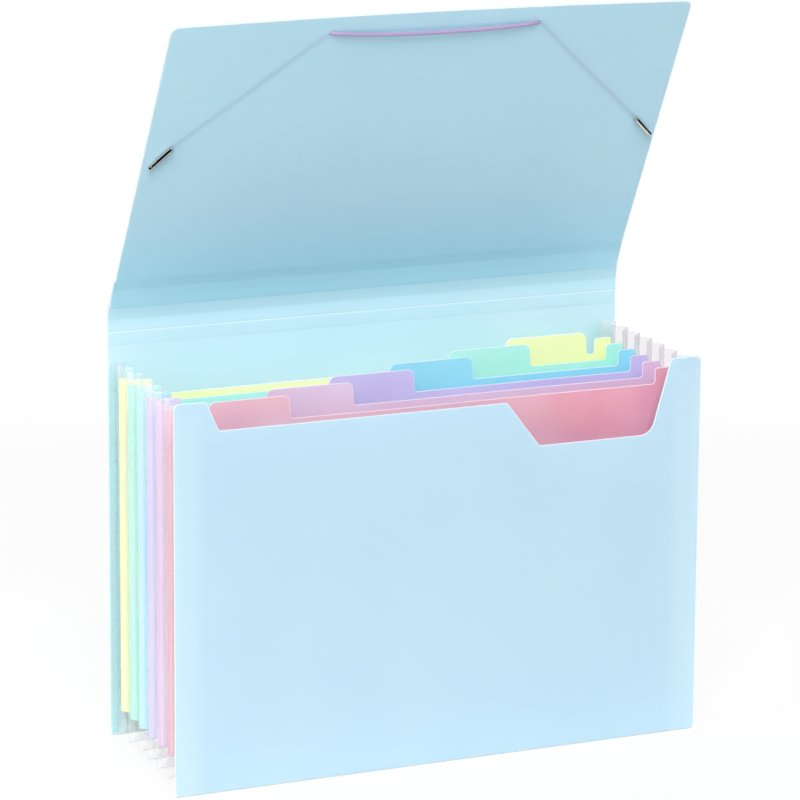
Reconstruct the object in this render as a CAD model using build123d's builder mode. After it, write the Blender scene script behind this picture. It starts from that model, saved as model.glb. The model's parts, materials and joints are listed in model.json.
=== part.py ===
# Accordion file folder for A4 sheets laid sideways.
# Two polypropylene covers stand apart, joined at the sides and the bottom by a pleated clear film.
# Six coloured dividers hang in the pleats, and a scored flap folds over them, held by an elastic cord.
# Millimetres, +Z up, front towards -Y, origin on the table under the middle of the folder.
import os
from math import atan2, cos, degrees, hypot, radians, sin, tan

from build123d import *

# Covers
cover_width = 330.0
front_height = 230.0
back_height = 238.0
cover_thickness = 0.8
cover_corner_radius = 3.0

# Pockets
pocket_pitch = 16.6
divider_names = ["rose", "orchid", "purple", "blue", "mint", "yellow"]

# Recess and thumb notch in the top of the front cover
front_ear_width = 19.5
front_ear_slope_run = 7.5
front_ear_corner_radius = 3.5
recess_depth = 17.5
recess_corner_radius = 2.5
notch_depth = 45.0
notch_floor_width = 72.0
notch_left_run = 21.0
notch_right_run = 13.0
notch_left_radius = 3.5
notch_right_radius = 9.0

# Dividers
divider_thickness = 0.5
divider_drop = 19.0
divider_ear_width = 11.5
divider_ear_rise = 9.5
divider_ear_radius = 2.0
tab_width = 55.0
first_tab_width = 51.0  # cut short by the left ear
tab_rise = 13.8
tab_slope_run = 0.8
tab_corner_radius = 4.5
tab_ear_gap = 4.0
last_tab_gap = 5.0
tab_foot_share = 0.475  # of the gap beside the tab, for the fillet at its foot

# Pleated film
film_thickness = 0.3
film_drop = 2.0
fold_inset = 3.0
fold_height = 2.5
pleat_depth = 7.5
weld_overhang = 1.5
fold_clearance = 0.15

# Bent side flanges of the dividers
flange_thickness = 0.4
flange_clearance = 0.1
flange_foot_gap = 7.0
flange_tip_gap = 0.5

# Scored strips at the top of the back cover, from the lowest score upwards
strip_names = ["lower", "middle", "upper"]
strip_lengths = [8.3, 14.3, 20.4]
strip_leans = [2.0, 6.0, 27.0]
strip_side_inset = 1.5
score_gap = 0.5

# Flap
flap_length = 188.6
flap_lean = 30.0
flap_side_inset = 4.5
flap_corner_radius = 5.0
flap_crown = 2.3

# Elastic cord and its metal ends
cord_diameter = 2.2
cord_lift = 0.3
cord_hole_spacing = 128.0
cord_hole_from_edge = 11.3
cord_hole_step = 2.0
cord_slot_clearance = 0.9
barb_slot_side_clearance = 0.35
cord_dive_start = 2.6
cord_dive_length = 5.0
cord_end_gap = 0.5
cord_bend_share = 0.45  # of the shorter run at a corner, for its bend
barb_length = 16.0
barb_wall = 0.4
barb_lift = 0.1
barb_bore_clearance = 0.1
barb_nose = 1.5
barb_nose_radius = 0.9
barb_sleeve_length = 7.5
barb_groove_count = 2
barb_groove_width = 0.6
barb_groove_depth = 0.2
barb_first_groove = 2.2
barb_groove_spacing = 2.4
barb_tip_width = 2.8
barb_from_side = 13.0
barb_from_edge = 95.2

# Planes of the sheets, from the front cover to the back cover
pocket_count = len(divider_names) + 1
front_y = -pocket_count * pocket_pitch / 2
back_y = -front_y
divider_ys = [front_y + (number + 1) * pocket_pitch for number in range(len(divider_names))]

half_width = cover_width / 2
fold_x = half_width - fold_inset
inner_fold_x = fold_x - pleat_depth
inner_fold_z = fold_height + pleat_depth
film_top = front_height - film_drop
low_edge = front_height - divider_drop
ear_top = low_edge + divider_ear_rise


def lean_step(length, lean):
    # How far a sheet that leans forward runs in Y and in Z.
    return -length * sin(radians(lean)), length * cos(radians(lean))


# Scores, from the top of the back cover up to the root of the flap
score_points = [(back_y, back_height)]
for length, lean in zip(strip_lengths, strip_leans):
    step_y, step_z = lean_step(length, lean)
    score_points.append((score_points[-1][0] + step_y, score_points[-1][1] + step_z))


def upright_plane(y):
    # A plane across the folder at this depth, with X along the width and Y up.
    return Plane(origin=(0, y, 0), x_dir=(1, 0, 0), z_dir=(0, -1, 0))


def leaning_plane(score, lean):
    # A plane on a score, with Y up the leaning sheet and Z out of its inner face.
    y, z = score
    normal = (0, -cos(radians(lean)), -sin(radians(lean)))
    return Plane(origin=(0, y, z), x_dir=(1, 0, 0), z_dir=normal)


flap_plane = leaning_plane(score_points[-1], flap_lean)
os.makedirs("parts", exist_ok=True)

# Back cover: a plain sheet up to the lowest score
with BuildPart() as back_panel:
    with BuildSketch(upright_plane(back_y)):
        with BuildLine():
            FilletPolyline(
                (-half_width, 0),
                (half_width, 0),
                (half_width, back_height - score_gap / 2),
                (-half_width, back_height - score_gap / 2),
                radius=[cover_corner_radius, cover_corner_radius, 0, 0],
                close=True,
            )
        make_face()
    extrude(amount=cover_thickness / 2, both=True)
back_panel.part.label = "back_panel"
export_step(back_panel.part, "parts/back_panel.step")

# Front cover: two ears with a wide recess between them and a deeper thumb notch at the right
recess_z = front_height - recess_depth
notch_z = front_height - notch_depth
left_ear_x = -half_width + front_ear_width
right_ear_x = half_width - front_ear_width
notch_right_x = right_ear_x - notch_right_run
notch_left_x = notch_right_x - notch_floor_width
with BuildPart() as front_panel:
    with BuildSketch(upright_plane(front_y)):
        with BuildLine():
            FilletPolyline(
                (-half_width, 0),
                (half_width, 0),
                (half_width, front_height),
                (right_ear_x, front_height),
                (notch_right_x, notch_z),
                (notch_left_x, notch_z),
                (notch_left_x - notch_left_run, recess_z),
                (left_ear_x + front_ear_slope_run, recess_z),
                (left_ear_x, front_height),
                (-half_width, front_height),
                radius=[
                    cover_corner_radius,
                    cover_corner_radius,
                    front_ear_corner_radius,
                    front_ear_corner_radius,
                    notch_right_radius,
                    notch_left_radius,
                    recess_corner_radius,
                    recess_corner_radius,
                    front_ear_corner_radius,
                    front_ear_corner_radius,
                ],
                close=True,
            )
        make_face()
    extrude(amount=cover_thickness / 2, both=True)
front_panel.part.label = "front_panel"
export_step(front_panel.part, "parts/front_panel.step")

# Spine strips: each one runs from score to score, and the uppermost narrows towards the flap
for name, length, lean, score in zip(strip_names, strip_lengths, strip_leans, score_points):
    tip_inset = strip_side_inset if name == strip_names[-1] else 0.0
    with BuildPart() as spine_strip:
        with BuildSketch(leaning_plane(score, lean)):
            with BuildLine():
                Polyline(
                    (-half_width, score_gap / 2),
                    (half_width, score_gap / 2),
                    (half_width - tip_inset, length - score_gap / 2),
                    (-half_width + tip_inset, length - score_gap / 2),
                    close=True,
                )
            make_face()
        extrude(amount=cover_thickness / 2, both=True)
    spine_strip.part.label = "spine_strip_" + name
    export_step(spine_strip.part, "parts/spine_strip_" + name + ".step")

# Places on the flap, from its root score: the cord's holes, and the barb with the cord's line to the hole
hole_v = flap_length - cord_hole_from_edge
hole_u = cord_hole_spacing / 2
barb_u = half_width - barb_from_side
barb_v = flap_length - barb_from_edge
diagonal_turn = atan2(hole_v - barb_v, barb_u - hole_u)
cord_rise = cover_thickness / 2 + cord_lift + cord_diameter / 2
bore_radius = cord_diameter / 2 + barb_bore_clearance
barb_radius = bore_radius + barb_wall
barb_rise = cover_thickness / 2 + barb_lift + barb_radius
sleeve_mouth = barb_sleeve_length - barb_length / 2


def along_diagonal(side, distance):
    # A point of the flap on the cord's diagonal, this far from the middle of the barb towards the hole.
    u = barb_u - distance * cos(diagonal_turn)
    return side * u, barb_v + distance * sin(diagonal_turn)


def slot_length(rise, run):
    # Length of a slot through the flap that the cord passes as it climbs this far over this run.
    slope = atan2(rise, run)
    return cord_diameter / sin(slope) + cover_thickness / tan(slope) + 2 * cord_slot_clearance


hole_width = cord_diameter + 2 * cord_slot_clearance
barb_slot_width = cord_diameter + 2 * barb_slot_side_clearance

# The cord dives from the sleeve through the slot, and crosses the middle of the sheet here
dive_share = barb_rise / (barb_rise + cord_rise)
slot_distance = sleeve_mouth + cord_dive_start + cord_dive_length * dive_share
barb_slot_length = slot_length(barb_rise + cord_rise, cord_dive_length)

# At a hole the cord turns from the diagonal to the run along the edge
hole_entry_v = -cord_hole_step * sin(diagonal_turn)
hole_entry_u = cord_hole_step * cos(diagonal_turn)
hole_mid_u = hole_u + (hole_entry_u - cord_hole_step) / 2
hole_mid_v = hole_v + hole_entry_v / 2
hole_turn = atan2(-hole_entry_v, hole_entry_u + cord_hole_step)
cord_hole_length = slot_length(2 * cord_rise, hypot(hole_entry_v, hole_entry_u + cord_hole_step))

# Flap: tapered sheet with rounded outer corners, a slightly crowned free edge, two holes and two slots
flap_root_x = half_width - strip_side_inset
flap_tip_x = half_width - flap_side_inset
with BuildPart() as flap:
    with BuildSketch(flap_plane) as flap_outline:
        with BuildLine():
            Polyline(
                (-flap_tip_x, flap_length - flap_crown),
                (-flap_root_x, score_gap / 2),
                (flap_root_x, score_gap / 2),
                (flap_tip_x, flap_length - flap_crown),
            )
            ThreePointArc(
                (flap_tip_x, flap_length - flap_crown),
                (0, flap_length),
                (-flap_tip_x, flap_length - flap_crown),
            )
        make_face()
        fillet(flap_outline.vertices().group_by(Axis.Y)[-1], radius=flap_corner_radius)
        for side in (-1, 1):
            hole_angle = -side * degrees(hole_turn)
            slot_angle = -side * degrees(diagonal_turn)
            with Locations((side * hole_mid_u, hole_mid_v)):
                SlotOverall(cord_hole_length, hole_width, rotation=hole_angle, mode=Mode.SUBTRACT)
            with Locations(along_diagonal(side, slot_distance)):
                SlotOverall(barb_slot_length, barb_slot_width, rotation=slot_angle, mode=Mode.SUBTRACT)
    extrude(amount=cover_thickness / 2, both=True)
flap.part.label = "flap"
export_step(flap.part, "parts/flap.step")

# Dividers: a sheet with an ear at each end and one index tab, each tab a step further to the right
divider_edge_x = inner_fold_x
ear_right = divider_edge_x - divider_ear_width
ear_left = -ear_right
first_tab_left = ear_left + tab_ear_gap
first_tab_right = first_tab_left + first_tab_width
last_tab_right = ear_right - last_tab_gap
tab_pitch = (last_tab_right - first_tab_right) / (len(divider_names) - 1)
tab_foot_radius = tab_foot_share * tab_ear_gap
tab_top = low_edge + tab_rise
for number, name in enumerate(divider_names):
    tab_right = first_tab_right + number * tab_pitch
    tab_left = first_tab_left if number == 0 else tab_right - tab_width
    with BuildPart() as divider:
        with BuildSketch(upright_plane(divider_ys[number])):
            with BuildLine():
                FilletPolyline(
                    (-divider_edge_x, inner_fold_z),
                    (divider_edge_x, inner_fold_z),
                    (divider_edge_x, ear_top),
                    (ear_right, ear_top),
                    (ear_right, low_edge),
                    (tab_right, low_edge),
                    (tab_right - tab_slope_run, tab_top),
                    (tab_left + tab_slope_run, tab_top),
                    (tab_left, low_edge),
                    (ear_left, low_edge),
                    (ear_left, ear_top),
                    (-divider_edge_x, ear_top),
                    radius=[
                        0,
                        0,
                        0,
                        divider_ear_radius,
                        tab_foot_radius,
                        tab_foot_radius,
                        tab_corner_radius,
                        tab_corner_radius,
                        tab_foot_radius,
                        tab_foot_radius,
                        divider_ear_radius,
                        0,
                    ],
                    close=True,
                )
            make_face()
        extrude(amount=divider_thickness / 2, both=True)
    divider.part.label = "divider_" + name
    export_step(divider.part, "parts/divider_" + name + ".step")

# Pleats: a folded strip of film for each pocket, run down one side, along the bottom and up the other.
# Across the strip, X points out of the folder from the outer fold and Y to the back.
film_start = Plane(origin=(-fold_x, 0, film_top), x_dir=(-1, 0, 0), z_dir=(0, 0, -1))
film_path = [
    (-fold_x, 0, film_top),
    (-fold_x, 0, fold_height),
    (fold_x, 0, fold_height),
    (fold_x, 0, film_top),
]
fold_edge = divider_thickness / 2 + fold_clearance
weld_face = cover_thickness / 2


def pleat_span(pocket):
    # Where the pleat of a pocket starts and ends in Y.
    plane_y = front_y + pocket * pocket_pitch
    start = plane_y + (weld_face if pocket == 0 else fold_edge)
    last = pocket == pocket_count - 1
    end = plane_y + pocket_pitch - (weld_face if last else fold_edge)
    return start, end


def pleat_lean(pocket):
    # How far one sloping half of the pleat stands for each millimetre of its thickness.
    start, end = pleat_span(pocket)
    half_span = (end - start) / 2
    return hypot(pleat_depth, half_span) / half_span


for pocket in range(pocket_count):
    start, end = pleat_span(pocket)
    middle = (start + end) / 2
    wall = film_thickness * pleat_lean(pocket)
    with BuildPart() as gusset:
        with BuildLine() as film_run:
            Polyline(*film_path)
        with BuildSketch(film_start):
            with BuildLine():
                Polyline(
                    (-pleat_depth, start),
                    (0, middle),
                    (-pleat_depth, end),
                    (-pleat_depth - wall, end),
                    (-wall, middle),
                    (-pleat_depth - wall, start),
                    close=True,
                )
            make_face()
            # The first and last pleats end in a flat strip that is welded to the cover
            if pocket in (0, pocket_count - 1):
                weld_y = start + film_thickness / 2 if pocket == 0 else end - film_thickness / 2
                weld_width = pleat_depth + wall + weld_overhang
                with Locations((weld_overhang - weld_width / 2, weld_y)):
                    Rectangle(weld_width, film_thickness)
        sweep(path=film_run.wire(), transition=Transition.RIGHT)
    node = "gusset_pocket_" + str(pocket + 1)
    gusset.part.label = node
    export_step(gusset.part, "parts/" + node + ".step")

# Side flanges: the ends of each divider, bent back along the front half of the pleat behind it
flange_foot = inner_fold_z + flange_foot_gap
for number, name in enumerate(divider_names):
    start, end = pleat_span(number + 1)
    middle = (start + end) / 2
    lean = pleat_lean(number + 1)
    slope = pleat_depth / (middle - start)
    root_y = divider_ys[number] + divider_thickness / 2
    tip_y = middle - flange_tip_gap
    outer_gap = (film_thickness + flange_clearance) * lean
    wall = flange_thickness * lean

    def flange_x(y, depth):
        # Distance from the middle of the folder to the flange's face at this place on the slope.
        return fold_x - (middle - y) * slope - depth

    with BuildPart() as flanges:
        with BuildSketch(Plane.XY.offset(flange_foot)) as flange_section:
            with BuildLine():
                Polyline(
                    (flange_x(root_y, outer_gap), root_y),
                    (flange_x(tip_y, outer_gap), tip_y),
                    (flange_x(tip_y, outer_gap + wall), tip_y),
                    (flange_x(root_y, outer_gap + wall), root_y),
                    close=True,
                )
            make_face()
            mirror(about=Plane.YZ)
        extrude(amount=ear_top - flange_foot)
    flanges.part.label = "flanges_" + name
    export_step(flanges.part, "parts/flanges_" + name + ".step")

# Elastic cord: out of one barb, through its slot, up the outside of the flap to the hole,
# straight across the inside to the other hole, and back the same way
def cord_half(side):
    # The cord's points from a barb to the run along the edge, on the flap.
    buried = along_diagonal(side, -barb_length / 2 + barb_nose + cord_end_gap)
    mouth = along_diagonal(side, sleeve_mouth + cord_dive_start)
    outside = along_diagonal(side, sleeve_mouth + cord_dive_start + cord_dive_length)
    hole_outside = (side * (hole_u + hole_entry_u), hole_v + hole_entry_v)
    hole_inside = (side * (hole_u - cord_hole_step), hole_v)
    return [
        (*buried, barb_rise),
        (*mouth, barb_rise),
        (*outside, -cord_rise),
        (*hole_outside, -cord_rise),
        (*hole_inside, cord_rise),
    ]


cord_points = cord_half(-1) + cord_half(1)[::-1]


def bend_radius(before, corner, after):
    # The largest arc that the two runs at a corner leave room for.
    run_in = Vector(*corner) - Vector(*before)
    run_out = Vector(*after) - Vector(*corner)
    turn = radians(run_in.get_angle(run_out))
    return cord_bend_share * min(run_in.length, run_out.length) / tan(turn / 2)


corner_numbers = range(1, len(cord_points) - 1)
cord_radii = [bend_radius(*cord_points[number - 1 : number + 2]) for number in corner_numbers]
with BuildPart() as elastic_cord:
    with BuildLine(flap_plane) as cord_run:
        FilletPolyline(*cord_points, radius=cord_radii)
    with BuildSketch(Plane(origin=cord_run.wire() @ 0, z_dir=cord_run.wire() % 0)):
        Circle(cord_diameter / 2)
    sweep(path=cord_run.wire())
print("cord bend radii", [round(radius, 1) for radius in cord_radii])
print("cord length", round(cord_run.wire().length, 1))
elastic_cord.part.label = "elastic_cord"
export_step(elastic_cord.part, "parts/elastic_cord.step")

# Barbs: a crimped sleeve with a closed nose and two grooves, which opens into a slim tapering tongue.
# The tongue lies over the slot, so the cord can't pull the barb through.
tongue_length = barb_length - barb_sleeve_length
cut_reach = 2 * barb_radius  # past the outside of the barb
for name, side in (("left", -1), ("right", 1)):
    nose = flap_plane.from_local_coords((*along_diagonal(side, -barb_length / 2), barb_rise))
    tip = flap_plane.from_local_coords((*along_diagonal(side, barb_length / 2), barb_rise))
    barb_plane = Plane(origin=nose, x_dir=flap_plane.z_dir, z_dir=(tip - nose).normalized())
    top_plane = Plane(origin=nose, x_dir=barb_plane.z_dir, z_dir=flap_plane.z_dir)
    with BuildPart() as barb:
        with BuildSketch(barb_plane):
            Circle(barb_radius)
        extrude(amount=barb_length)
        fillet(barb.edges().filter_by(GeomType.CIRCLE).sort_by_distance(nose)[0], radius=barb_nose_radius)
        with BuildSketch(barb_plane.offset(barb_nose)):
            Circle(bore_radius)
        extrude(amount=barb_length - barb_nose, mode=Mode.SUBTRACT)
        for groove in range(barb_groove_count):
            with BuildSketch(barb_plane.offset(barb_first_groove + groove * barb_groove_spacing)):
                Circle(cut_reach)
                Circle(barb_radius - barb_groove_depth, mode=Mode.SUBTRACT)
            extrude(amount=barb_groove_width, mode=Mode.SUBTRACT)
        with BuildSketch(barb_plane.offset(barb_sleeve_length)):
            with Locations((-cut_reach / 2, 0)):
                Rectangle(cut_reach, 2 * cut_reach)
        extrude(amount=tongue_length, mode=Mode.SUBTRACT)
        with BuildSketch(top_plane):
            with BuildLine():
                Polyline(
                    (barb_sleeve_length, barb_radius),
                    (barb_length, barb_tip_width / 2),
                    (barb_length, cut_reach),
                    (barb_sleeve_length, cut_reach),
                    close=True,
                )
            make_face()
            mirror(about=Plane.XZ)
        extrude(amount=cut_reach, both=True, mode=Mode.SUBTRACT)
    barb.part.label = "barb_" + name
    export_step(barb.part, "parts/barb_" + name + ".step")
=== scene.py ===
import json
import math

import bmesh
import bpy
from mathutils import Matrix, Vector


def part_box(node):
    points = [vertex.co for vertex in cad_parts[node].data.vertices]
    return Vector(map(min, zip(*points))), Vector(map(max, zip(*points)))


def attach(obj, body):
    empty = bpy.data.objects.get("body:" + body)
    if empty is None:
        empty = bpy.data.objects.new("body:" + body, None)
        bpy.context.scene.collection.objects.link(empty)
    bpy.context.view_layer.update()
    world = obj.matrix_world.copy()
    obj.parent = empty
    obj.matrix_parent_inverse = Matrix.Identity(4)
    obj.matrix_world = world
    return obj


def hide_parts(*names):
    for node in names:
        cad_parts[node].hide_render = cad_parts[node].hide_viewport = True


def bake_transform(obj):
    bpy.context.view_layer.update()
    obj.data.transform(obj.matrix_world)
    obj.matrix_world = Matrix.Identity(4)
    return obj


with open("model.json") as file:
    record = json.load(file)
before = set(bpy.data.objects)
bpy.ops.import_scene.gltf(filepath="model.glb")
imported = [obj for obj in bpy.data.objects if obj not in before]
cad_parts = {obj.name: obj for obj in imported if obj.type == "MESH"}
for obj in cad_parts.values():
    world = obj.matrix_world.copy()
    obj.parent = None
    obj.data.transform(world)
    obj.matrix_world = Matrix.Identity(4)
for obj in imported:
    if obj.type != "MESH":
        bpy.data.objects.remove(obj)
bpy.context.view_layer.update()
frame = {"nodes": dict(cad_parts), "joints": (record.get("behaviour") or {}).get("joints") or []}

mm = 0.001
dividerNames = ["rose", "orchid", "purple", "blue", "mint", "yellow"]  # front to back
slidingBodies = ["front_cover"] + dividerNames + ["back_cover"]
scorePoints = [Vector(joint["pos_m"]) for joint in frame["joints"] if joint["type"] == "hinge"]


def middleOf(node):
    low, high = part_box(node)
    return (low + high) / 2


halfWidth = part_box("back_panel")[1].x
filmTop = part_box("gusset_pocket_1")[1].z
sheetPlanes = [middleOf("front_panel").y]
sheetPlanes += [middleOf("divider_" + name).y for name in dividerNames]
sheetPlanes.append(middleOf("back_panel").y)

# the flap's own directions: across, up the sheet, and out of its inner face
flapLean = math.radians(30)
flapUp = Vector((0, -math.sin(flapLean), math.cos(flapLean)))
flapInside = Vector((0, -math.cos(flapLean), -math.sin(flapLean)))


def onFlap(u, v, w):
    return scorePoints[3] + Vector((u * mm, 0, 0)) + flapUp * (v * mm) + flapInside * (w * mm)


barbSlant = {"up": 0.685, "inwards": 0.728}


def barbWay(outward):
    # the way that the slots and the barbs lie on the flap, as a direction
    return (flapUp * barbSlant["up"] - outward * barbSlant["inwards"]).normalized()


# Modelling helpers

aligned = 0.9  # least cosine between a face or an edge and the way that it faces or runs
mergeReach = 0.005 * mm
flatAngle = math.radians(0.5)


def startClean():
    if bpy.context.mode != "OBJECT":
        bpy.ops.object.mode_set(mode="OBJECT")
    bpy.ops.object.select_all(action="DESELECT")


def editing(piece, kind="FACE"):
    startClean()
    piece.select_set(True)
    bpy.context.view_layer.objects.active = piece
    bpy.ops.object.mode_set(mode="EDIT")
    bpy.ops.mesh.select_mode(type=kind)
    bpy.ops.mesh.select_all(action="SELECT")


def pick(piece, kind, rule):
    # selects the faces, edges or vertices that the rule says yes to
    bpy.ops.mesh.select_mode(type=kind)
    bpy.ops.mesh.select_all(action="DESELECT")
    mesh = bmesh.from_edit_mesh(piece.data)
    mesh.normal_update()
    for part in {"FACE": mesh.faces, "EDGE": mesh.edges, "VERT": mesh.verts}[kind]:
        if rule(part):
            part.select_set(True)
    mesh.select_flush_mode()
    bmesh.update_edit_mesh(piece.data)


def paint(piece, index):
    # gives the selected faces the finish in this material slot
    piece.active_material_index = index
    bpy.ops.object.material_slot_assign()


def copyOfNode(node, name, finishes):
    # a copy of the CAD piece with its loose triangles joined into whole faces
    piece = bpy.data.objects.new(name, frame["nodes"][node].data.copy())
    bpy.context.scene.collection.objects.link(piece)
    piece.data.materials.clear()
    for finish in finishes:
        piece.data.materials.append(finish)
    editing(piece)
    paint(piece, 0)
    bpy.ops.mesh.remove_doubles(threshold=mergeReach)
    bpy.ops.mesh.dissolve_limited(angle_limit=flatAngle)
    return piece


def bevelSharp(sharpness, offset, steps):
    bpy.ops.mesh.select_mode(type="EDGE")
    bpy.ops.mesh.select_all(action="DESELECT")
    bpy.ops.mesh.edges_select_sharp(sharpness=math.radians(sharpness))
    bpy.ops.mesh.bevel(offset=offset, segments=steps, affect="EDGES")


def finishModelling(piece, smoothAngle=35):
    startClean()
    piece.select_set(True)
    bpy.context.view_layer.objects.active = piece
    bpy.ops.object.shade_smooth_by_angle(angle=math.radians(smoothAngle))
    # the large faces lead the shading, so that the narrow rounded edges do not darken them
    flat = piece.modifiers.new("flat", "WEIGHTED_NORMAL")
    flat.weight = 100
    flat.keep_sharp = True
    bpy.ops.object.modifier_apply(modifier=flat.name)
    startClean()


# Colours and nodes


def colour(hexCode):
    # sRGB hex to linear, with alpha 1
    values = [int(hexCode[i:i + 2], 16) / 255 for i in (1, 3, 5)]
    return [v / 12.92 if v <= 0.04045 else ((v + 0.055) / 1.055) ** 2.4 for v in values] + [1.0]


def addNode(tree, kind, settings=None, links=None):
    node = tree.nodes.new(kind)
    for key, value in (settings or {}).items():
        if isinstance(key, str) and hasattr(node, key):
            setattr(node, key, value)
        else:
            node.inputs[key].default_value = value
    for key, source in (links or {}).items():
        tree.links.new(source, node.inputs[key])
    return node


def newMaterial(name):
    material = bpy.data.materials.new(name)
    material.use_nodes = True
    material.node_tree.nodes.clear()
    return material, material.node_tree


polypropyleneIor = 1.49

# Frosted polypropylene sheet, extruded with a fine matt grain: it scatters light, so it glows
# a little when lit from behind, and its surface has a broad soft sheen.
coverLook = {
    "body": "#D0ECF8",
    "deep": "#C7E6F5",
    "weld": "#D1ECF8",
    "edge": "#FAFEFF",
    "score": "#FAFEFF",
    "dot": "#D4F0FA",
    "translucent": 0.27,
    "roughness": 0.42,
    "cloud": 70 * mm,
    "grain": 1.2 * mm,  # the real grain is finer, and would not show
    "weldEdge": (halfWidth - 20 * mm, halfWidth - 12 * mm),  # where the weld's band begins and is full
    "weldTopFade": 8 * mm,
}
# The back cover's inside is a lit and shaded copy of the cover: its lighter body is painted light from
# behind, its darker, greener band along the welds is painted shade, its paler foot is painted light that
# comes in under the film, and its darker weld dots are painted shade.
backLook = {
    **coverLook,
    "body": "#DBF2F9",
    "deep": "#D3EEF7",
    "weld": "#C2E6E9",
    "dot": "#C4E6EA",
    "foot": "#DFF6F3",
    "footHeight": (12 * mm, 30 * mm),
    "footReach": (halfWidth - 10 * mm, halfWidth - 4 * mm),
}
# the flap is a touch darker than the front cover, painted shade as it faces down, and darker and bluer by its
# root: painted shade
flapLook = {
    **coverLook,
    "body": "#CEECF5",
    "deep": "#C6E7F3",
    "root": "#C2EBF7",
    "rootHeight": (scorePoints[3].z, scorePoints[3].z + 45 * mm),
}
# the spine strips are lighter than the front cover, painted light, and darker towards the flap: painted shade
spineLook = {
    **coverLook,
    "body": "#D7F0F8",
    "deep": "#CFECF6",
    "root": "#C4E6F0",
    "rootHeight": (scorePoints[2].z, scorePoints[1].z),
}
# deepensOver, deepens and lightens set the painted shade towards the right and the painted light towards the
# left
dividerLook = {
    "translucent": 0.12,
    "bentTranslucent": 0.22,
    "roughness": 0.4,
    "cloud": 45 * mm,
    "grain": 1.2 * mm,
    "deepensOver": 150 * mm,
    "deepens": 0.3,
    "lightens": 0.3,
    "flangePale": 0.05,
}
dividerLooks = {
    # deep is the cloudy partner tone and also the painted shade's tone; the rose deepens most, painted shade
    # in its notch
    "rose": {"body": "#F6C8D6", "deep": "#EAA0B5", "edge": "#FDE8EE", "deepens": 0.6},
    "orchid": {"body": "#EFDAF1", "deep": "#E4C0E8", "edge": "#FBF0FB"},
    "purple": {"body": "#DCD6FB", "deep": "#CCC2F4", "edge": "#F3EEFD", "flangePale": 0.3},
    "blue": {"body": "#A8F0FF", "deep": "#96E8FC", "edge": "#E8FAFE", "flangePale": 0.4},
    "mint": {"body": "#CCFFF4", "deep": "#BAFDEC", "edge": "#EBFEF8", "flange": "#B0F3E3"},
    "yellow": {"body": "#FFFFCE", "deep": "#FFFFB8", "edge": "#FFFFF0", "flange": "#F2FCC8",
               "deepens": 0.15, "translucent": 0.03},
}
weldTicks = {
    "columns": (155.6 * mm, 159.1 * mm),
    "halfLength": 0.6 * mm,
    "spacing": 1.6 * mm,
    "ends": (-0.2, 0.6),  # the part of each wave along the column where a mark fades in
    "share": 0.9,
}
# painted shadow of the cord behind the flap, with its tint, as seen through the sheet
cordShadowLine = {
    "from": (65.5, 175.9),
    "to": (146.9, 98.3),
    "halfWidth": 3.24 * mm,
    "tone": "#B4CDEC",
    "share": 0.2,
}
surfaceGrain = {"roughness": 0.05, "bump": 0.08, "depth": 0.05 * mm}


def cloudyTone(tree, place, look, sloped):
    # a cloudy mix of two tones, which on a divider deepens towards the right, away from the light, as
    # painted shade, and lightens towards the left as painted light
    share = addNode(
        tree, "ShaderNodeTexNoise", {"Scale": 1 / look["cloud"], "Detail": 2.0}, {"Vector": place}
    ).outputs["Fac"]
    if sloped:
        axes = addNode(tree, "ShaderNodeSeparateXYZ", {}, {"Vector": place})
        slope = addNode(
            tree, "ShaderNodeMapRange",
            {1: 0.0, 2: look["deepensOver"], 3: -look["lightens"], 4: look["deepens"]},
            {"Value": axes.outputs["X"]},
        )
        share = addNode(
            tree, "ShaderNodeMath", {"operation": "ADD", "use_clamp": True}, {0: share, 1: slope.outputs[0]}
        ).outputs[0]
    return addNode(
        tree, "ShaderNodeMix",
        {"data_type": "RGBA", 6: colour(look["body"]), 7: colour(look["deep"])},
        {0: share},
    ).outputs[2]


def rootTone(tree, place, look, tint):
    # painted shade by the scores, where the sheet bends in under the flap: a darker, more saturated blue
    axes = addNode(tree, "ShaderNodeSeparateXYZ", {}, {"Vector": place})
    start, stop = look["rootHeight"]
    near = addNode(
        tree, "ShaderNodeMapRange", {1: start, 2: stop, 3: 1.0, 4: 0.0}, {"Value": axes.outputs["Z"]}
    )
    return addNode(
        tree, "ShaderNodeMix", {"data_type": "RGBA", 7: colour(look["root"])}, {0: near.outputs[0], 6: tint}
    ).outputs[2]


def weldLightAndShadeTone(tree, place, look, tint):
    # two layers along the sides, where the film is welded on, in their own tone, which on the back cover's
    # inner face is darker, painted shade; and painted light that comes in at the foot
    axes = addNode(tree, "ShaderNodeSeparateXYZ", {}, {"Vector": place})
    height = axes.outputs["Z"]
    reach = addNode(tree, "ShaderNodeMath", {"operation": "ABSOLUTE"}, {0: axes.outputs["X"]}).outputs[0]
    start, stop = look["weldEdge"]
    outer = addNode(tree, "ShaderNodeMapRange", {1: start, 2: stop}, {"Value": reach})
    topFrom = filmTop - look["weldTopFade"]
    below = addNode(tree, "ShaderNodeMapRange", {1: topFrom, 2: filmTop, 3: 1.0, 4: 0.0}, {"Value": height})
    bands = [("weld", outer, below)]
    if "foot" in look:
        start, stop = look["footHeight"]
        low = addNode(tree, "ShaderNodeMapRange", {1: start, 2: stop, 3: 1.0, 4: 0.0}, {"Value": height})
        start, stop = look["footReach"]
        inside = addNode(tree, "ShaderNodeMapRange", {1: start, 2: stop, 3: 1.0, 4: 0.0}, {"Value": reach})
        bands.append(("foot", low, inside))
    for tone, first, second in bands:
        share = addNode(
            tree, "ShaderNodeMath", {"operation": "MULTIPLY"}, {0: first.outputs[0], 1: second.outputs[0]}
        )
        tint = addNode(
            tree, "ShaderNodeMix",
            {"data_type": "RGBA", 7: colour(look[tone])},
            {0: share.outputs[0], 6: tint},
        ).outputs[2]
    return tint


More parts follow.
